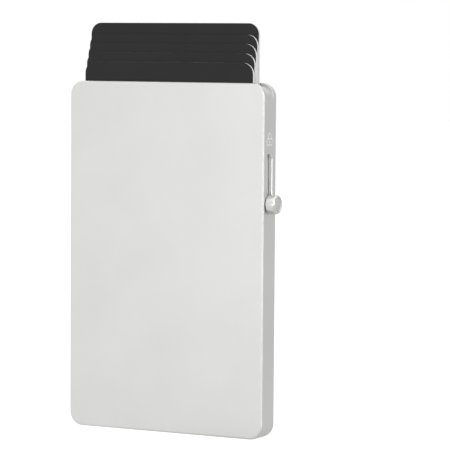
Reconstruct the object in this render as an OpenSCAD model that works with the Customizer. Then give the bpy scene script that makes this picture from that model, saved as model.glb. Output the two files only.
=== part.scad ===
// Slide-action card wallet: a slim aluminium case whose side knob fans five cards out of its mouth.
// The front faces -Y, the knob is on the +X side, and the origin is the middle of the case's underside.
// It is drawn with the knob down and the cards fanned out.

/* [Case] */
// Width of the case, without the knob
case_w = 62.4; // [62.2:0.1:63]
// Height of the case, without the cards
case_h = 99; // [99:0.5:102]
// Thickness of the front plate
front_t = 1.15; // [1.05:0.05:1.6]
// Thickness of the back cover
back_t = 2; // [1.9:0.05:2.4]
// Thickness of the side and bottom walls
wall_t = 1; // [0.9:0.02:1]
// Radius of the case's four corners
corner_r = 4; // [3.5:0.25:5]
// Radius along the outer edges of the front plate and of the back cover
edge_r = 0.55; // [0.3:0.05:0.7]
// How far the side walls stop below the top edge
wall_drop = 0.85; // [0.5:0.05:1.2]

/* [Cards] */
// Width of a card
card_w = 53.98; // [53.92:0.01:54.03]
// Height of a card
card_h = 85.6; // [85.47:0.01:85.72]
// Thickness of a card
card_t = 0.76; // [0.7:0.01:0.78]
// Corner radius of a card
card_corner_r = 3.18; // [2.88:0.01:3.48]
// Gap between one card and the next
card_gap = 0.06; // [0.05:0.01:0.08]
// Lift of the front card as the cards fan out
first_lift = 6.5; // [6.3:0.1:7]
// Extra lift of each card behind it
lift_step = 2.6; // [2.4:0.05:2.7]
// Extra lift of the rear card, on top of its step
rear_extra = 0.6; // [0:0.1:0.7]

/* [Slide] */
// Travel of the knob
knob_travel = 12.3; // [11.8:0.1:12.4]
// Height of the knob's middle when the cards are out
knob_z = 65.5; // [60:0.5:70]
// Radius of the knob's head
knob_r = 2.7; // [2.2:0.1:3]
// How far the knob stands out of the side
knob_out = 3; // [2.5:0.1:3.2]
// Radius of the knob's stem
stem_r = 1.6; // [1.4:0.05:1.7]
// Chamfer round the slot's outer edge
slot_chamfer = 0.15; // [0.1:0.05:0.3]
// Distance from the middle of the card bay to the slot's middle line, towards the front
slot_offset = 0.08; // [0:0.02:0.1]

/* [Lever] */
// Turn of the lever over the knob's whole travel, in degrees
lever_turn = 60; // [60:1:60]
// Height of the lever's pivot above the underside
pivot_z = 9.3; // [9.2:0.1:9.4]
// Radius of the pivot pin
pin_r = 1.2; // [1:0.05:1.3]
// Radius of the lever's hub
hub_r = 2.8; // [2.6:0.05:2.85]

/* [Hidden] */
$fn = 96;
tiny = 0.01;
cut = 1;

// The case, front to back
card_count = 5;
card_pitch = card_t + card_gap;
front_clear = 0.04;
back_clear = 0.07;
divider_t = 0.2;
bay_depth = front_clear + card_count * card_pitch - card_gap + back_clear;
case_t = front_t + bay_depth + divider_t + back_t;
front_y = -case_t / 2;
bay_y = front_y + front_t;
divider_y = bay_y + bay_depth;
seam_y = divider_y + divider_t;

// The case, side to side
side_clear = 0.46;
bay_half = card_w / 2 + side_clear;
side_x = case_w / 2;
wall_x = side_x - wall_t;
rail_t = 0.7;
rail_x = bay_half + rail_t;
inner_corner_r = corner_r - wall_t;
lip_z = case_h - wall_drop - wall_t;
rail_base_z = 18;
rail_top_z = lip_z - inner_corner_r;

// Grip pads near the mouth, and the drag spring's pocket
pad_half = 20;
pad_z = [84, 92];
pad_depth = 0.4;
spring_z = [38, 56];

// The lever layer is a pocket in the back cover
pocket_depth = 1;
pocket_y = seam_y + pocket_depth;
pocket_top_z = 22;
pocket_left_x = 4;
plate_t = 1;
washer_t = 0.1;
plate_clear = 0.05;
plate_y = pocket_y - washer_t - plate_clear - plate_t;
seat_depth = 0.4;

// The slider runs between the right rail and the side wall
slide_clear = 0.1;
slot_y = bay_y + (seam_y - bay_y) / 2 - slot_offset;
slot_half = stem_r + slide_clear;
bar_in_x = rail_x + slide_clear;
bar_out_x = wall_x - slide_clear;
bar_clear = 0.15;
bar_half = slot_y - bay_y - bar_clear;
bar_bottom_z = 1.3;
bar_past_slot = 1;
bar_top_z = knob_z + knob_travel + slot_half + bar_past_slot;
bar_hole_r = 1.1;
screw_head_r = 1.5;
screw_head_t = 0.35;
screw_r = 0.5;
screw_length = 2.4;
head_gap = 0.12;

// The lever's short arm is a scotch yoke: its tip swings half the turn above and below level
tip_r = 0.8;
tip_clear = 0.15;
arm_r = knob_travel / (2 * sin(lever_turn / 2));
tip_angle = -lever_turn / 2;
pivot_x = bar_out_x - slide_clear - tip_r - arm_r;
tip_z = pivot_z + arm_r * sin(tip_angle);
horn_lap = 0.05;
horn_x = pivot_x + arm_r * cos(tip_angle) - horn_lap;
horn_t = 0.9;
bush_r = 1.9;
pin_clear = 0.05;
rivet_r = 0.6;
rivets = [[-1.8, 4.4], [-3.6, 7.2]];

// Every card's lower edge rides on its own involute cam, so that it lifts in step with the knob
turn = lever_turn * PI / 180;
card_recess = 1;
cards_in_z = case_h - card_recess - card_h;
cam_gap = 0.12;
cam_steps = 24;

function lift(k) = first_lift + (k - 1) * lift_step + (k == card_count ? rear_extra : 0);
function card_y(k) = bay_y + front_clear + (k - 1) * card_pitch;
function cam_base(k) = lift(k) / turn;
function cam_start(k) = (cards_in_z - cam_gap - pivot_z) / cam_base(k);

// A point of the cam's edge, from the pivot, with the lever at rest: unwound from the base circle
function involute(a, t, t_end) =
    let (angle = 180 - (t_end - t) * 180 / PI)
    a * [cos(angle) + t * sin(angle), sin(angle) - t * cos(angle)];

// Draws a front-view outline, x across and z up, as a layer from one y to another
module layer(from_y, to_y)
    translate([0, to_y, 0]) rotate([90, 0, 0]) linear_extrude(to_y - from_y) children();

// Draws a side-view outline, y across and z up, as a layer from one x to another
module side_layer(from_x, to_x)
    translate([from_x, 0, 0]) rotate([90, 0, 90]) linear_extrude(to_x - from_x) children();

// A rectangle with round corners, its lower edge at z = from_z
module rounded_rect(width, from_z, to_z, r) {
    translate([-width / 2 + r, from_z]) square([width - 2 * r, to_z - from_z]);
    translate([-width / 2, from_z + r]) square([width, to_z - from_z - 2 * r]);
    for (x = [-1, 1], z = [from_z + r, to_z - r])
        translate([x * (width / 2 - r), z]) circle(r);
}

// Half the section of a plate near its edge, with the top edge rounded
module edge_section(depth) {
    square([corner_r - edge_r, depth]);
    square([corner_r, depth - edge_r]);
    translate([corner_r - edge_r, depth - edge_r]) circle(edge_r);
}

// The case's outline as a plate whose outer edge is rounded all round, standing in the XZ plane
module case_plate(depth) {
    span = [case_h - 2 * corner_r, case_w - 2 * corner_r];
    translate([0, 0, case_h / 2]) rotate([90, 0, 0]) {
        translate([-span[1] / 2, -span[0] / 2, 0]) cube([span[1], span[0], depth]);
        for (i = [0:3])
            rotate([0, 0, 90 * i]) translate([span[(i + 1) % 2] / 2, span[i % 2] / 2, 0]) {
                rotate([90, 0, 0]) linear_extrude(span[i % 2]) edge_section(depth);
                rotate_extrude(angle = 90) edge_section(depth);
            }
    }
}

// A round bar along Y, across the case at the lever's pivot
module at_pivot(from_y, to_y, r)
    translate([pivot_x, to_y, pivot_z]) rotate([90, 0, 0]) cylinder(h = to_y - from_y, r = r);

// The padlock mark above the slot, drawn in outline
module padlock_mark() {
    body = [3.4, 2];
    line = 0.32;
    loop_r = 1;
    leg = 0.6;
    dot_r = 0.32;
    difference() {
        translate([-body[0] / 2, 0]) square(body);
        translate([-body[0] / 2 + line, line]) square([body[0] - 2 * line, body[1] - 2 * line]);
    }
    translate([0, body[1] / 2]) circle(dot_r);
    translate([0, body[1] - tiny]) difference() {
        union() {
            translate([-loop_r, 0]) square([2 * loop_r, leg]);
            translate([0, leg]) circle(loop_r);
        }
        translate([-loop_r + line, -cut]) square([2 * (loop_r - line), leg + cut]);
        translate([0, leg]) circle(loop_r - line);
        translate([-cut - loop_r, -2 * cut]) square([2 * (loop_r + cut), 2 * cut]);
    }
}

// The knob's slot with its round ends, and the chamfer round it
module knob_slot() {
    reach = slot_half + slot_chamfer;
    translate([0, slot_y, knob_z]) {
        translate([wall_x - cut, -slot_half, 0]) cube([wall_t + 2 * cut, 2 * slot_half, knob_travel]);
        linear_extrude(knob_travel)
            polygon([[side_x + tiny, -reach], [side_x + tiny, reach], [side_x, reach],
                [side_x - slot_chamfer, slot_half], [side_x - slot_chamfer, -slot_half], [side_x, -reach]]);
        for (z = [0, knob_travel])
            translate([wall_x - cut, 0, z]) rotate([0, 90, 0]) {
                cylinder(h = wall_t + 2 * cut, r = slot_half);
                translate([0, 0, wall_t + cut - slot_chamfer])
                    cylinder(h = slot_chamfer, r1 = slot_half, r2 = reach);
            }
    }
}

// Front plate, side walls and floor in one piece, open at the back and at the mouth
module front_shell() {
    mark_depth = 0.05;
    mark_z = 81.8;
    mark_y = slot_y + 0.15;
    notch = [3, 0.25, 1.05];
    color("silver") difference() {
        union() {
            translate([0, bay_y, 0]) case_plate(front_t);
            layer(bay_y, seam_y) rounded_rect(case_w, 0, case_h - wall_drop, corner_r);
        }
        layer(bay_y, seam_y + cut) rounded_rect(2 * wall_x, wall_t, lip_z, inner_corner_r);
        layer(bay_y, seam_y + cut)
            translate([-bay_half, lip_z - cut]) square([2 * bay_half, 3 * cut + wall_t]);
        knob_slot();
        side_layer(side_x - mark_depth, side_x + cut) translate([mark_y, mark_z]) padlock_mark();
        for (side = [-1, 1])
            translate([side * (side_x - notch[0] / 2) - notch[0] / 2, seam_y - notch[1], -tiny])
                cube(notch + [0, cut, 0]);
        at_pivot(bay_y - seat_depth, bay_y + tiny, pin_r);
        translate([0, bay_y - pad_depth, 0]) pad_recess(pad_depth);
    }
}

// The room that a grip pad is glued in, going back from y = 0
module pad_recess(depth)
    translate([-pad_half, 0, pad_z[0]]) cube([2 * pad_half, depth, pad_z[1] - pad_z[0]]);

// Back plate, with the pocket that the lever swings in.
// The pocket's lower right corner follows the case's round corner.
module back_cover() {
    color("silver") difference() {
        translate([0, seam_y, 0]) mirror([0, 1, 0]) case_plate(back_t);
        layer(seam_y - cut, pocket_y) intersection() {
            translate([pocket_left_x, wall_t]) square([wall_x - pocket_left_x, pocket_top_z - wall_t]);
            rounded_rect(2 * wall_x, wall_t, case_h, inner_corner_r);
        }
        translate([bar_in_x, seam_y - cut, spring_z[0] - 1])
            cube([wall_x - bar_in_x, pocket_depth + cut, spring_z[1] - spring_z[0] + 2]);
        translate([0, seam_y - cut, 0]) pad_recess(pad_depth + cut);
        at_pivot(pocket_y - tiny, pocket_y + seat_depth, pin_r);
    }
}

// Thin sheet that the rear card slides on, with a window for the rear grip pad
module divider_plate() {
    edge_gap = 0.05;
    window = 0.2;
    bottom_z = pocket_top_z + 0.5;
    top_z = case_h - 1.6;
    color("gainsboro") difference() {
        translate([-bay_half + edge_gap, divider_y, bottom_z])
            cube([2 * (bay_half - edge_gap), divider_t, top_z - bottom_z]);
        translate([-pad_half - window, divider_y - cut, pad_z[0] - window])
            cube([2 * (pad_half + window), 2 * cut, pad_z[1] - pad_z[0] + 2 * window]);
    }
}

// Plastic guide that fills the left side of the case, with two pockets that lighten it
module left_rail() {
    bottom_z = wall_t + inner_corner_r;
    web = 1;
    hollow = [1.6, seam_y - bay_y - 2 * web, 34];
    color("dimgray") difference() {
        translate([-wall_x, bay_y, bottom_z])
            cube([wall_x - bay_half, seam_y - bay_y, rail_top_z - bottom_z]);
        for (z = [10, 54])
            translate([-wall_x - cut, bay_y + web, z]) cube(hollow + [cut, 0, 0]);
    }
}

// Plastic guide between the cards and the slider
module right_rail() {
    color("dimgray") translate([bay_half, bay_y, rail_base_z])
        cube([rail_t, seam_y - bay_y, rail_top_z - rail_base_z]);
}

// Felt strip in the front plate that brakes the front card
module front_grip_pad() {
    color("black") translate([0, bay_y - pad_depth, 0]) pad_recess(pad_depth + front_clear / 2);
}

// Felt strip in the back cover that brakes the rear card
module back_grip_pad() {
    front = divider_y - back_clear / 2;
    color("black") translate([0, front, 0]) pad_recess(seam_y + pad_depth - front);
}

// Fixed pin that the lever turns on, held by the front plate and the back cover
module pivot_pin() {
    color("lightslategray") at_pivot(bay_y - seat_depth, pocket_y + seat_depth, pin_r);
}

// Washer between the lever and the back cover
module thrust_washer() {
    color("white") difference() {
        at_pivot(pocket_y - washer_t, pocket_y, hub_r);
        at_pivot(pocket_y - 2 * washer_t, pocket_y + washer_t, pin_r);
    }
}

// Bowed leaf in the back cover that presses on the slider, so that the knob stays where it is put
module drag_spring() {
    leaf_t = 0.15;
    margin = 0.2;
    crest_gap = 0.04;
    crest_y = slot_y + bar_half + crest_gap;
    rise = pocket_y - crest_y;
    half_length = (spring_z[1] - spring_z[0]) / 2;
    bow_r = (pow(half_length, 2) + pow(rise, 2)) / (2 * rise);
    color("lightslategray") side_layer(bar_in_x + margin, wall_x - margin) intersection() {
        translate([crest_y + bow_r, (spring_z[0] + spring_z[1]) / 2]) difference() {
            circle(bow_r, $fn = 360);
            circle(bow_r - leaf_t, $fn = 360);
        }
        translate([crest_y - cut, spring_z[0]]) square([rise + cut, 2 * half_length]);
    }
}

// Flat bar behind the slot; two horns at its foot hold the lever's tip.
// The foot follows the case's round corner.
module slider_bar() {
    horn_back_y = plate_y + plate_t;
    bar_back_y = slot_y + bar_half;
    color("lightgray") difference() {
        intersection() {
            union() {
                side_layer(bar_in_x, bar_out_x) translate([slot_y - bar_half, bar_bottom_z])
                    square([2 * bar_half, bar_top_z - bar_bottom_z]);
                for (z = [tip_z - tip_r - tip_clear - horn_t, tip_z + tip_r + tip_clear])
                    translate([horn_x, bar_back_y - tiny, z])
                        cube([bar_out_x - horn_x, horn_back_y - bar_back_y + tiny, horn_t]);
            }
            layer(bay_y, pocket_y)
                rounded_rect(2 * bar_out_x, wall_t + slide_clear, case_h, inner_corner_r - slide_clear);
        }
        translate([bar_in_x - cut, slot_y, knob_z]) rotate([0, 90, 0]) {
            cylinder(h = 4 * cut, r = bar_hole_r);
            cylinder(h = cut + screw_head_t, r = screw_head_r);
        }
    }
}

// Half the section of the knob's head, rounded at both ends
module head_section(length) {
    rim = 0.75;
    heel = 0.35;
    square([knob_r - rim, length]);
    square([knob_r - heel, length - rim]);
    translate([0, heel]) square([knob_r, length - rim - heel]);
    translate([knob_r - rim, length - rim]) circle(rim);
    translate([knob_r - heel, heel]) circle(heel);
}

// Mushroom knob with a dished end; its stem goes through the slot and its spigot through the bar
module knob() {
    head_length = knob_out - head_gap;
    head_x = side_x + head_gap;
    dish_rim_r = 1.85;
    dish_depth = 0.45;
    dish_r = (pow(dish_rim_r, 2) + pow(dish_depth, 2)) / (2 * dish_depth);
    stem_in_head = 0.5;
    spigot_x = bar_in_x + screw_head_t;
    color("gainsboro") translate([0, slot_y, knob_z]) rotate([0, 90, 0]) difference() {
        union() {
            translate([0, 0, head_x]) rotate_extrude() head_section(head_length);
            translate([0, 0, bar_out_x]) cylinder(h = head_x + stem_in_head - bar_out_x, r = stem_r);
            translate([0, 0, spigot_x]) cylinder(h = bar_out_x + tiny - spigot_x, r = bar_hole_r);
        }
        translate([0, 0, side_x + knob_out - dish_depth + dish_r]) sphere(dish_r);
        translate([0, 0, spigot_x - cut]) cylinder(h = cut + screw_length, r = screw_r);
    }
}

// Tiny screw that holds the knob on the bar, put in before the bar goes into the case
module knob_screw() {
    slot = [2, 0.3, 0.15];
    color("lightslategray") translate([bar_in_x, slot_y, knob_z]) rotate([0, 90, 0]) {
        difference() {
            cylinder(h = screw_head_t, r = screw_head_r - slide_clear);
            translate([-slot[0] / 2, -slot[1] / 2, -cut]) cube(slot + [0, 0, cut]);
        }
        translate([0, 0, screw_head_t - tiny]) cylinder(h = screw_length, r = screw_r);
    }
}

// The strip of plate between the pivot and a point given from the pivot
module lever_strip(to, half_width) {
    reach = norm(to);
    rotate(atan2(to[1], to[0])) translate([0, -half_width]) square([reach, 2 * half_width]);
    translate(to) circle(half_width);
}

// The holes through the lever's plates: the bush's, then the rivets'
module lever_holes() {
    circle(bush_r);
    for (at = rivets)
        translate(at) circle(rivet_r);
}

// Steel plate with the short arm that the slider's horns move
module lever_plate() {
    tip = arm_r * [cos(tip_angle), sin(tip_angle)];
    back_half = 1.6;
    arm_half = 0.6;
    color("slategray") layer(plate_y, plate_y + plate_t) translate([pivot_x, pivot_z]) difference() {
        union() {
            circle(hub_r);
            lever_strip(rivets[1], back_half);
            lever_strip(tip, arm_half);
            translate(tip) circle(tip_r);
        }
        lever_holes();
    }
}

// Steel blade that lifts one card
module cam(k) {
    a = cam_base(k);
    t_start = cam_start(k);
    t_end = t_start + turn;
    edge = [for (i = [0:cam_steps]) involute(a, t_start + turn * i / cam_steps, t_end)];
    nose = edge[cam_steps] + [-0.9, -1.2];
    foot = [for (angle = [200, 10]) hub_r * [cos(angle), sin(angle)]];
    color("slategray") layer(card_y(k), card_y(k) + card_t) translate([pivot_x, pivot_z]) difference() {
        union() {
            circle(hub_r);
            polygon(concat(edge, [nose], foot));
        }
        lever_holes();
    }
}

// Sleeve pressed through all the blades, running on the pivot pin
module lever_bush() {
    color("darkgoldenrod") difference() {
        at_pivot(card_y(1), plate_y + plate_t, bush_r);
        at_pivot(bay_y, pocket_y, pin_r + pin_clear);
    }
}

// Two flush rivets that clamp the blades to the lever plate
module lever_rivets() {
    color("lightslategray") layer(card_y(1), plate_y + plate_t) translate([pivot_x, pivot_z])
        for (at = rivets)
            translate(at) circle(rivet_r);
}

// One card, lifted by its cam; card 1 is the front one
module card(k) {
    base_z = cards_in_z + lift(k);
    color("dimgray") layer(card_y(k), card_y(k) + card_t)
        rounded_rect(card_w, base_z, base_z + card_h, card_corner_r);
}

front_shell();
back_cover();
divider_plate();
left_rail();
right_rail();
front_grip_pad();
back_grip_pad();
pivot_pin();
thrust_washer();
drag_spring();
slider_bar();
knob();
knob_screw();
lever_plate();
lever_bush();
lever_rivets();
cam(1);  // cam_1
cam(2);  // cam_2
cam(3);  // cam_3
cam(4);  // cam_4
cam(5);  // cam_5
card(1);  // card_1
card(2);  // card_2
card(3);  // card_3
card(4);  // card_4
card(5);  // card_5
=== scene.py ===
"""Slide-action card wallet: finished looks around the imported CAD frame, in metres."""
import math

import bmesh
import bpy
from mathutils import Matrix, Vector


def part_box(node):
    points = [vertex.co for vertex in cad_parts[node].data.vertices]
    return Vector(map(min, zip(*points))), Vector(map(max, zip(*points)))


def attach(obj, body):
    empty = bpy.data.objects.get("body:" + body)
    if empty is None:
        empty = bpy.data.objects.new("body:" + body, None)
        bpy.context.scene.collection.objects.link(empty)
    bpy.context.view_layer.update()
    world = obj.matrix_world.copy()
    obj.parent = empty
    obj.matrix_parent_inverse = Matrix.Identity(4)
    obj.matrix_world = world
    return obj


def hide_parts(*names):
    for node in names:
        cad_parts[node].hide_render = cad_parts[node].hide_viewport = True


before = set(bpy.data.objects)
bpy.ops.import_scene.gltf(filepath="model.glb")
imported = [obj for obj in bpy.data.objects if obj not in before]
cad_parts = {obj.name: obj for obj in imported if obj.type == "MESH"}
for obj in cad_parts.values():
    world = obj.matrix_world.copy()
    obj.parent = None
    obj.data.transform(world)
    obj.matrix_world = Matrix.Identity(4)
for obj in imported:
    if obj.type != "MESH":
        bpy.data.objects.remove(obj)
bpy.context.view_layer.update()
MM = 0.001

# The camera: how it looks at the wallet
AZIMUTH = math.radians(28.2)
ELEVATION = math.radians(3.9)
ROLL = math.radians(0.41)
DISTANCE = 0.757
LENS = 214.2
AIM_RIGHT = 15.2 * MM
AIM_UP = 9.05 * MM

# The studio's light, as brightness by direction. The horizon darkens towards SKY_DARK_SIDE, between two
# shares of that direction, and brightens upwards between two heights. The strip light stands at STRIP_SIDE
# and fades out between the two heights of STRIP_TOP.
SKY_TOP = 1.6
SKY_FRONT = 1.22
SKY_BACK = 0.84
SKY_DARK_SIDE = (0.75, 0.66, 0)
SKY_TURN = (0.1, 0.8)
SKY_RISE = (0.35, 0.9)
STRIP_SIDE = (0.88, -0.475, 0)
STRIP_LIGHT = 3.7
STRIP_SHARPNESS = 30
STRIP_TOP = (0.3, 0.75)
FLOOR_GREY = 0.15
FLOOR_GLOW_FRONT = 0.68
FLOOR_GLOW_BACK = 0.51
FLOOR_GLOW_BLEND = 0.02
FLOOR_SEEN_GLOW = 0.4
FLOOR_RADIUS = 3.0
FILL_PLACE = (-0.03, -0.5, 0.02)
FILL_TARGET = (0, 0, 0.05)
FILL_SIZE = (0.2, 0.25)
FILL_POWER = 0.32

# The case and the cards
EDGE_BEVEL = 0.12 * MM
SEAM_SHARE = 0.3
CASE_CORNER = 4 * MM
MARK_DEPTH = 0.05 * MM
SLOT_CHAMFER = 0.15 * MM
CHAMFER_NORMAL = (0.6, 0.8)
CARD_CORNER = 3.18 * MM
CARD_EDGE = 0.03 * MM
PRINT_THICKNESS = 0.02 * MM
CARDS = [f"card_{k}" for k in range(1, 6)]
CAMS = [f"cam_{k}" for k in range(1, 6)]

# The knob
HEAD_GAP = 0.12 * MM
HEEL_RADIUS = 0.35 * MM
RIM_RADIUS = 0.75 * MM
DISH_RADIUS = 1.85 * MM
DISH_DEPTH = 0.45 * MM
GROOVE_INNER_RADIUS = 1.6 * MM
GROOVE_DEPTH = 0.24 * MM
STEM_RADIUS = 1.6 * MM
SPIGOT_RADIUS = 1.1 * MM
SCREW_RADIUS = 0.5 * MM
LATHE_PITCH = 0.16 * MM


# ---------------------------------------------------------------- materials

def add_node(tree, kind, inputs=(), **settings):
    """A new node; each input is a socket to link from or a value to set."""
    node = tree.nodes.new(kind)
    for key, value in settings.items():
        setattr(node, key, value)
    for key, value in dict(inputs).items():
        if isinstance(value, bpy.types.NodeSocket):
            tree.links.new(value, node.inputs[key])
        else:
            node.inputs[key].default_value = value
    return node


class Nodes:
    """A material's node tree, with short calls for the nodes that the materials below share."""

    def __init__(self, name, colour, metallic, roughness):
        self.material = bpy.data.materials.new(name)
        self.material.use_nodes = True
        self.tree = self.material.node_tree
        self.shader = self.tree.nodes["Principled BSDF"]
        self.shader.inputs["Base Color"].default_value = (*colour, 1)
        self.shader.inputs["Metallic"].default_value = metallic
        self.shader.inputs["Roughness"].default_value = roughness
        self.place = self.tree.nodes.new("ShaderNodeTexCoord").outputs["Object"]

    def add(self, kind, inputs=(), **settings):
        return add_node(self.tree, kind, inputs, **settings)

    def vector(self, operation, first, second=(0, 0, 0)):
        return self.add("ShaderNodeVectorMath", {0: first, 1: second}, operation=operation).outputs

    def math(self, operation, *values):
        return self.add("ShaderNodeMath", dict(enumerate(values)), operation=operation).outputs[0]

    def noise(self, per_metre, detail=2.0, stretch=(1, 1, 1), rough=0.5):
        """Noise with about that many features in a metre, stretched along some axes."""
        scaled = self.vector("MULTIPLY", self.place, stretch)[0]
        inputs = {"Vector": scaled, "Scale": per_metre, "Detail": detail, "Roughness": rough}
        return self.add("ShaderNodeTexNoise", inputs).outputs["Fac"]

    def remap(self, value, low, high, start=0.3, end=0.7):
        """Maps the stretch from start to end onto low to high."""
        inputs = {"Value": value, "From Min": start, "From Max": end, "To Min": low, "To Max": high}
        return self.add("ShaderNodeMapRange", inputs).outputs["Result"]

    def tint(self, value, dark, light):
        """Base colour that wanders between two close colours."""
        mixed = self.add("ShaderNodeMix", {"Factor": value}, data_type="RGBA")
        mixed.inputs["A"].default_value = (*dark, 1)
        mixed.inputs["B"].default_value = (*light, 1)
        return mixed.outputs["Result"]

    def set(self, socket, value):
        self.tree.links.new(value, self.shader.inputs[socket])

    def bump(self, height, depth, under=None):
        inputs = {"Height": height, "Distance": depth}
        if under:
            inputs["Normal"] = under
        return self.add("ShaderNodeBump", inputs).outputs["Normal"]


def shade(colour, factor):
    return tuple(min(1.0, c * factor) for c in colour)


def blasted_aluminium(name="blasted_aluminium", colour=(0.70, 0.70, 0.686), roughness=0.42):
    """Fine glass-bead blasting under clear anodising."""
    m = Nodes(name, colour, 1.0, roughness)
    grain = m.noise(7000, 2.0)
    cloud = m.noise(55, 3.0)
    m.set("Base Color", m.tint(m.remap(cloud, 0, 1), shade(colour, 0.975), shade(colour, 1.02)))
    m.set("Roughness", m.remap(grain, roughness - 0.05, roughness + 0.05))
    pits = m.bump(grain, 0.008 * MM)
    m.set("Normal", m.bump(m.noise(2800, 1.0), 0.005 * MM, under=pits))
    return m.material


def rolled_aluminium(name, colour, roughness=0.36):
    """Sheet or drawn strip with faint lines along Z."""
    m = Nodes(name, colour, 1.0, roughness)
    lines = m.noise(5200, 2.0, stretch=(1, 1, 0.02))
    cloud = m.noise(120, 2.0)
    m.set("Base Color", m.tint(m.remap(cloud, 0, 1), shade(colour, 0.96), shade(colour, 1.03)))
    m.set("Roughness", m.remap(lines, roughness - 0.07, roughness + 0.07))
    m.set("Normal", m.bump(lines, 0.006 * MM))
    return m.material


def turned_metal(name, centre, colour=(0.70, 0.70, 0.69), roughness=0.22):
    """Polished lathe work: rings round an axis along X through centre."""
    m = Nodes(name, colour, 1.0, roughness)
    from_axis = m.vector("SUBTRACT", m.place, centre)[0]
    across_axis = m.vector("MULTIPLY", from_axis, (0, 1, 1))[0]
    radius = m.vector("LENGTH", across_axis)["Value"]
    wander = m.math("MULTIPLY", m.noise(900), 0.05 * MM)
    turns = m.math("MULTIPLY", m.math("ADD", radius, wander), 2 * math.pi / LATHE_PITCH)
    rings = m.math("SINE", turns)
    m.set("Roughness", m.remap(m.noise(700), roughness - 0.04, roughness + 0.06))
    m.set("Base Color", m.tint(m.remap(m.noise(260), 0, 1), shade(colour, 0.95), shade(colour, 1.02)))
    m.set("Normal", m.bump(rings, 0.0012 * MM))
    return m.material


def bright_steel(name, colour=(0.58, 0.58, 0.585), roughness=0.24):
    m = Nodes(name, colour, 1.0, roughness)
    lines = m.noise(3800, 3.0, stretch=(0.08, 1, 1))
    m.set("Roughness", m.remap(lines, roughness - 0.05, roughness + 0.1))
    m.set("Base Color", m.tint(m.noise(300), shade(colour, 0.9), shade(colour, 1.06)))
    m.set("Normal", m.bump(lines, 0.004 * MM))
    return m.material


def sintered_bronze(name, colour=(0.60, 0.42, 0.22), roughness=0.4):
    m = Nodes(name, colour, 1.0, roughness)
    pores = m.noise(2600, 4.0, rough=0.7)
    m.set("Roughness", m.remap(pores, roughness - 0.06, roughness + 0.14))
    m.set("Base Color", m.tint(m.remap(pores, 0, 1), shade(colour, 0.72), shade(colour, 1.05)))
    m.set("Normal", m.bump(pores, 0.02 * MM))
    return m.material


def moulded_plastic(name, colour, roughness=0.5, grain_depth=0.012):
    m = Nodes(name, colour, 0.0, roughness)
    grain = m.noise(3200, 2.0)
    m.set("Roughness", m.remap(grain, roughness - 0.06, roughness + 0.08))
    m.set("Base Color", m.tint(m.remap(m.noise(180), 0, 1), shade(colour, 0.9), shade(colour, 1.08)))
    m.set("Normal", m.bump(grain, grain_depth * MM))
    return m.material


def felt(name, colour=(0.05, 0.05, 0.055)):
    m = Nodes(name, colour, 0.0, 0.95)
    m.shader.inputs["Sheen Weight"].default_value = 0.5
    m.shader.inputs["Sheen Roughness"].default_value = 0.6
    fibres = m.noise(2400, 6.0, rough=0.8)
    m.set("Base Color", m.tint(m.remap(fibres, 0, 1), shade(colour, 0.6), shade(colour, 1.7)))
    m.set("Normal", m.bump(fibres, 0.09 * MM))
    return m.material


def printed_card(name, colour=(0.010, 0.010, 0.010), roughness=0.42):
    """Matt black print under a laminate with a very fine orange peel."""
    m = Nodes(name, colour, 0.0, roughness)
    m.shader.inputs["Specular IOR Level"].default_value = 0.27
    peel = m.noise(1600, 2.0)
    smudge = m.noise(70, 3.0)
    m.set("Base Color", m.tint(m.remap(smudge, 0, 1), shade(colour, 0.88), shade(colour, 1.12)))
    m.set("Roughness", m.remap(smudge, roughness - 0.05, roughness + 0.06))
    m.set("Normal", m.bump(peel, 0.006 * MM))
    return m.material


def card_core(name, colour=(0.77, 0.77, 0.76)):
    """The cut edge of the white plastic between the printed faces."""
    m = Nodes(name, colour, 0.0, 0.55)
    layers = m.noise(9000, 1.0, stretch=(0.05, 1, 0.05))
    m.set("Base Color", m.tint(m.remap(layers, 0, 1), shade(colour, 0.9), shade(colour, 1.08)))
    m.set("Normal", m.bump(layers, 0.008 * MM))
    return m.material


# ---------------------------------------------------------------- mesh tools

def new_object(name, data):
    made = bpy.data.objects.new(name, data)
    bpy.context.scene.collection.objects.link(made)
    return made


def new_mesh_object(name, bm):
    mesh = bpy.data.meshes.new(name)
    bm.to_mesh(mesh)
    bm.free()
    return new_object(name, mesh)


def new_piece(name, bm, body, replaced, materials):
    """Makes a piece that rides on a body and stands for a CAD node."""
    piece = new_mesh_object(name, bm)
    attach(piece, body)
    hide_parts(replaced)
    for material in materials:
        piece.data.materials.append(material)
    return piece


def weighted_normals(piece):
    for face in piece.data.polygons:
        face.use_smooth = True
    modifier = piece.modifiers.new("normals", "WEIGHTED_NORMAL")
    modifier.keep_sharp = True
    modifier.weight = 100


def welded_copy(node):
    """A CAD node's mesh with its faces joined again into whole flats and smooth curves."""
    bm = bmesh.new()
    bm.from_mesh(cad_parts[node].data)
    bmesh.ops.remove_doubles(bm, verts=bm.verts, dist=1e-6)
    bmesh.ops.dissolve_limit(
        bm, angle_limit=math.radians(0.2), verts=bm.verts, edges=bm.edges, use_dissolve_boundaries=False
    )
    return bm


def weigh_edges(bm, weight_of, sharp=math.radians(50)):
    """Gives each sharp edge the share of the bevel's width that weight_of() says."""
    layer = bm.edges.layers.float.new("bevel_weight_edge")
    for edge in bm.edges:
        if edge.is_manifold and edge.calc_face_angle(0) > sharp:
            edge[layer] = weight_of(edge)
    return layer


def break_edges(piece, width):
    """Rounds the weighted edges of a piece."""
    modifier = piece.modifiers.new("broken_edges", "BEVEL")
    modifier.limit_method = "WEIGHT"
    modifier.width = width
    modifier.segments = 3
    modifier.use_clamp_overlap = True


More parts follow.
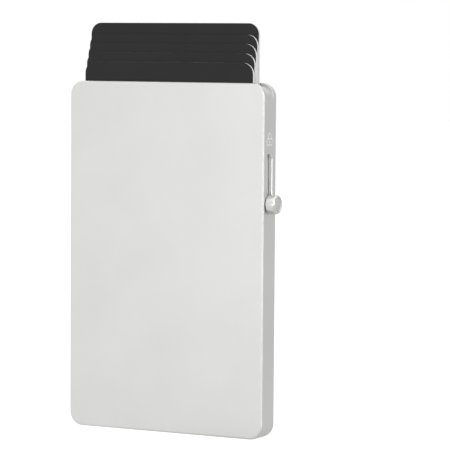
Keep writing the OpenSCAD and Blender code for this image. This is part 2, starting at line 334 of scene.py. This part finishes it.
def mark_sharp(bm, angle=math.radians(40), bevelled=None):
    """Marks the edges to shade as corners: all sharp ones, but not those that get a bevel."""
    for edge in bm.edges:
        rounded = bevelled is not None and edge[bevelled] > 0
        edge.smooth = rounded or not (edge.is_manifold and edge.calc_face_angle(0) > angle)


def corner_outline(low, high, radius, inset=0.0, steps=12):
    """Rounded rectangle in the XZ plane between two corners, pulled in by inset."""
    r = radius - inset
    points = []
    for quarter, (sx, sz) in enumerate(((1, 1), (-1, 1), (-1, -1), (1, -1))):
        cx = (high.x - radius) if sx > 0 else (low.x + radius)
        cz = (high.z - radius) if sz > 0 else (low.z + radius)
        for i in range(steps + 1):
            angle = math.pi / 2 * (quarter + i / steps)
            points.append((cx + r * math.cos(angle), cz + r * math.sin(angle)))
    return points


def loft(rings):
    """A closed bmesh skinned over rings of as many points each; returns it and its faces, ring by ring."""
    bm = bmesh.new()
    verts = [[bm.verts.new(p) for p in ring] for ring in rings]
    bands = []
    count = len(verts[0])
    for a, b in zip(verts, verts[1:]):
        nexts = [(i + 1) % count for i in range(count)]
        bands.append([bm.faces.new((a[i], a[j], b[j], b[i])) for i, j in enumerate(nexts)])
    bm.faces.new(reversed(verts[0]))
    bm.faces.new(verts[-1])
    bmesh.ops.recalc_face_normals(bm, faces=bm.faces)
    return bm, bands


def spin_rings(profile, centre, steps=96):
    """Rings round an axis along X through centre, from (x, radius) points."""
    rings = []
    for x, radius in profile:
        ring = []
        for i in range(steps):
            angle = 2 * math.pi * i / steps
            across, up = radius * math.cos(angle), radius * math.sin(angle)
            ring.append(Vector((x, centre.y + across, centre.z + up)))
        rings.append(ring)
    return rings


def arc(centre, radius, start, end, steps):
    """Points of an arc, from start to end degrees, as (x, y) pairs."""
    angles = [math.radians(start + (end - start) * i / steps) for i in range(steps + 1)]
    return [(centre[0] + radius * math.cos(a), centre[1] + radius * math.sin(a)) for a in angles]


# ---------------------------------------------------------------- pieces

def mark_faces(bm):
    """The floor of the padlock mark, which lies just under the right side's surface."""
    floor_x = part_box("front_shell")[1].x - MARK_DEPTH
    slack = MARK_DEPTH / 5
    facing_right = [f for f in bm.faces if f.normal.x > 0.999]
    return [f for f in facing_right if abs(f.calc_center_median().x - floor_x) < slack]


def chamfer_faces(bm):
    """The chamfer round the knob's slot."""
    low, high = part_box("knob")
    side_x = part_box("front_shell")[1].x - 2 * SLOT_CHAMFER
    faces = []
    for face in bm.faces:
        centre = face.calc_center_median()
        slanted = CHAMFER_NORMAL[0] < face.normal.x < CHAMFER_NORMAL[1]
        if slanted and centre.x > side_x and low.y < centre.y < high.y:
            faces.append(face)
    return faces


def inside(points, box):
    """Whether every point is in a box, or just outside it."""
    slack = 0.1 * MM
    low, high = box
    return all(low[i] - slack <= p[i] <= high[i] + slack for p in points for i in range(3))


def finished_case(metal, laser_mark, cut_edge):
    """Both halves of the case, their edges broken, least along the seam, and the padlock mark bleached."""
    low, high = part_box("back_cover")
    seam = [(low.x, low.y, low.z), (high.x, low.y, high.z - CASE_CORNER)]
    for node, name in (("front_shell", "front_shell_finished"), ("back_cover", "back_cover_finished")):
        bm = welded_copy(node)
        mark = mark_faces(bm)
        corners = [v.co for f in mark for v in f.verts]
        kept = [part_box("pivot_pin")]
        if corners:
            kept.append([[end(c[i] for c in corners) for i in range(3)] for end in (min, max)])
        for slot, faces in ((1, mark), (2, chamfer_faces(bm))):
            for face in faces:
                face.material_index = slot

        def weight_of(edge):
            ends = [v.co for v in edge.verts]
            if any(inside(ends, box) for box in kept):
                return 0
            return SEAM_SHARE if inside(ends, seam) else 1

        mark_sharp(bm, bevelled=weigh_edges(bm, weight_of))
        materials = [metal, laser_mark, cut_edge] if corners else [metal]
        piece = new_piece(name, bm, "case", node, materials)
        break_edges(piece, EDGE_BEVEL)
        weighted_normals(piece)


def layered_card(node, print_material, core_material):
    """A card: a white core between two thin printed faces, its rims broken."""
    low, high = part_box(node)
    depths = [
        (low.y, CARD_EDGE),
        (low.y + CARD_EDGE, 0),
        (low.y + CARD_EDGE + PRINT_THICKNESS, 0),
        (high.y - CARD_EDGE - PRINT_THICKNESS, 0),
        (high.y - CARD_EDGE, 0),
        (high.y, CARD_EDGE),
    ]
    rings = [
        [Vector((x, y, z)) for x, z in corner_outline(low, high, CARD_CORNER, inset)]
        for y, inset in depths
    ]
    bm, bands = loft(rings)
    core_band = bands[2]
    for face in core_band:
        face.material_index = 1
    mark_sharp(bm, math.radians(30))
    materials = [print_material, core_material]
    piece = new_piece(f"{node}_layered", bm, node, node, materials)
    weighted_normals(piece)


def knob_centre():
    """A point on the knob's axis."""
    low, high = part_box("knob")
    return Vector((0, (low.y + high.y) / 2, (low.z + high.z) / 2))


def turned_knob(material):
    """The mushroom knob, lathe-turned: stem, round head and dished end with a groove round the dish."""
    low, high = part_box("knob")
    under_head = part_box("front_shell")[1].x + HEAD_GAP
    bar_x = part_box("slider_bar")[1].x
    radius = (high.z - low.z) / 2
    dish = (DISH_RADIUS**2 + DISH_DEPTH**2) / (2 * DISH_DEPTH)
    dish_x = high.x - DISH_DEPTH + dish
    dish_half = math.degrees(math.asin(GROOVE_INNER_RADIUS / dish))
    groove = (high.x - GROOVE_DEPTH, (DISH_RADIUS + GROOVE_INNER_RADIUS) / 2)
    profile = [(low.x, SCREW_RADIUS), (low.x, SPIGOT_RADIUS), (bar_x, SPIGOT_RADIUS)]
    profile += [(bar_x, STEM_RADIUS), (under_head, STEM_RADIUS)]
    profile += arc((under_head + HEEL_RADIUS, radius - HEEL_RADIUS), HEEL_RADIUS, 180, 90, 6)
    profile += arc((high.x - RIM_RADIUS, radius - RIM_RADIUS), RIM_RADIUS, 90, 0, 12)
    profile += [(high.x, DISH_RADIUS), groove]
    profile += arc((dish_x, 0), dish, 180 - dish_half, 180, 14)[:-1]
    bm, _ = loft(spin_rings(profile, knob_centre()))
    mark_sharp(bm, math.radians(30))
    weighted_normals(new_piece("knob_turned", bm, "slider", "knob", [material]))


def dress_cad_nodes(looks):
    """Gives every CAD node that still shows its own material."""
    for node, material in looks.items():
        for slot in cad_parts[node].material_slots:
            slot.material = material


# ---------------------------------------------------------------- stage, light and camera

def make_floor():
    """A pale floor that lights the wallet from below, more in front than behind."""
    bm = bmesh.new()
    bmesh.ops.create_circle(bm, cap_ends=True, segments=96, radius=FLOOR_RADIUS)
    floor = new_mesh_object("floor", bm)
    m = Nodes("white_floor", (FLOOR_GREY, FLOOR_GREY, FLOOR_GREY), 0.0, 0.85)
    m.set("Base Color", m.tint(m.noise(3.0), *((FLOOR_GREY * f,) * 3 for f in (0.99, 1.01))))
    m.shader.inputs["Emission Color"].default_value = (1, 1, 1, 1)
    behind = m.vector("DOT_PRODUCT", m.place, SKY_DARK_SIDE)["Value"]
    glow = m.remap(behind, FLOOR_GLOW_FRONT, FLOOR_GLOW_BACK, -FLOOR_GLOW_BLEND, FLOOR_GLOW_BLEND)
    camera_sees = m.add("ShaderNodeLightPath").outputs["Is Camera Ray"]
    m.set("Emission Strength", m.math("MULTIPLY_ADD", camera_sees, FLOOR_SEEN_GLOW, glow))
    floor.data.materials.append(m.material)


def soft_box(name, place, target, size, power):
    light = bpy.data.lights.new(name, "AREA")
    light.shape = "RECTANGLE"
    light.size, light.size_y = size
    light.energy = power
    lamp = new_object(name, light)
    lamp.location = place
    lamp.visible_camera = False
    lamp.rotation_euler = (Vector(target) - Vector(place)).to_track_quat("-Z", "Y").to_euler()


def make_sky():
    """White studio: bright overhead, greyest at the back right, with a tall strip light at the right."""
    world = bpy.data.worlds.new("studio")
    bpy.context.scene.world = world
    world.use_nodes = True
    tree = world.node_tree
    tree.nodes.clear()

    def add(kind, inputs=(), **settings):
        return add_node(tree, kind, inputs, **settings).outputs

    def share(vector, direction):
        return add("ShaderNodeVectorMath", {0: vector, 1: direction}, operation="DOT_PRODUCT")["Value"]

    def ramp(value, stretch, low, high):
        start, end = stretch
        inputs = {"Value": value, "From Min": start, "From Max": end, "To Min": low, "To Max": high}
        return add("ShaderNodeMapRange", inputs)["Result"]

    towards = add("ShaderNodeTexCoord")["Generated"]
    height = share(towards, (0, 0, 1))
    horizon = ramp(share(towards, SKY_DARK_SIDE), SKY_TURN, SKY_FRONT, SKY_BACK)
    level = add("ShaderNodeVectorMath", {0: towards, 1: (1, 1, 0)}, operation="MULTIPLY")[0]
    compass = add("ShaderNodeVectorMath", {0: level}, operation="NORMALIZE")[0]
    ahead = add("ShaderNodeMath", {0: share(compass, STRIP_SIDE), 1: 0.0}, operation="MAXIMUM")[0]
    narrow = add("ShaderNodeMath", {0: ahead, 1: STRIP_SHARPNESS}, operation="POWER")[0]
    brightness = ramp(height, STRIP_TOP, STRIP_LIGHT, 0)
    strip = add("ShaderNodeMath", {0: narrow, 1: brightness}, operation="MULTIPLY")[0]
    rise = ramp(height, SKY_RISE, 0, 1)
    dome = add("ShaderNodeMix", {"Factor": rise, "A": horizon, "B": SKY_TOP})["Result"]
    total = add("ShaderNodeMath", {0: dome, 1: strip}, operation="ADD")[0]
    lit = add("ShaderNodeBackground", {"Strength": total})[0]
    seen = add("ShaderNodeBackground", {"Color": (1, 1, 1, 1)})[0]
    camera_sees = add("ShaderNodeLightPath")["Is Camera Ray"]
    surface = add("ShaderNodeMixShader", {0: camera_sees, 1: lit, 2: seen})[0]
    add("ShaderNodeOutputWorld", {"Surface": surface})


def make_camera():
    """Stands off the middle of the case at the camera's angles, with its aim moved right and up."""
    low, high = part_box("back_cover")
    middle = Vector((0, 0, (low.z + high.z) / 2))
    back = Vector((
        math.sin(AZIMUTH) * math.cos(ELEVATION),
        -math.cos(AZIMUTH) * math.cos(ELEVATION),
        math.sin(ELEVATION),
    ))
    right = Vector((math.cos(AZIMUTH), math.sin(AZIMUTH), 0))
    up = back.cross(right)
    rolled_right = math.cos(ROLL) * right + math.sin(ROLL) * up
    rolled_up = math.cos(ROLL) * up - math.sin(ROLL) * right
    place = middle + AIM_RIGHT * rolled_right + AIM_UP * rolled_up + DISTANCE * back
    data = bpy.data.cameras.new("camera")
    data.lens = LENS
    data.sensor_width = 36
    data.clip_start, data.clip_end = 0.05, 50
    camera = new_object("camera", data)
    turn = Matrix((rolled_right, rolled_up, back)).transposed().to_4x4()
    camera.matrix_world = Matrix.Translation(place) @ turn
    bpy.context.scene.camera = camera


def main():
    scene = bpy.context.scene
    scene.view_settings.view_transform = "Standard"
    make_camera()
    finished_case(
        blasted_aluminium(),
        blasted_aluminium("laser_mark", (0.93, 0.93, 0.92), 0.7),
        rolled_aluminium("cut_edge", (0.93, 0.93, 0.92), 0.35),
    )
    print_black, core_white = printed_card("card_print"), card_core("card_core")
    for node in CARDS:
        layered_card(node, print_black, core_white)
    turned_knob(turned_metal("knob_metal", knob_centre()))
    steel = bright_steel("lever_steel", (0.5, 0.5, 0.52), 0.32)
    bright = bright_steel("bright_steel")
    rail = moulded_plastic("rail_plastic", (0.12, 0.12, 0.125))
    pad = felt("felt")
    looks = {
        "divider_plate": rolled_aluminium("inner_aluminium", (0.70, 0.70, 0.69)),
        "slider_bar": rolled_aluminium("slider_aluminium", (0.77, 0.775, 0.76), 0.5),
        "left_rail": rail,
        "right_rail": rail,
        "front_grip_pad": pad,
        "back_grip_pad": pad,
        "thrust_washer": moulded_plastic("washer_plastic", (0.8, 0.8, 0.78), 0.4),
        "lever_bush": sintered_bronze("bush_bronze"),
        "pivot_pin": bright,
        "drag_spring": bright,
        "knob_screw": bright,
        "lever_rivets": bright,
        "lever_plate": steel,
    }
    looks.update({cam: steel for cam in CAMS})
    dress_cad_nodes(looks)
    make_floor()
    make_sky()
    soft_box("front_fill", FILL_PLACE, FILL_TARGET, FILL_SIZE, FILL_POWER)


main()
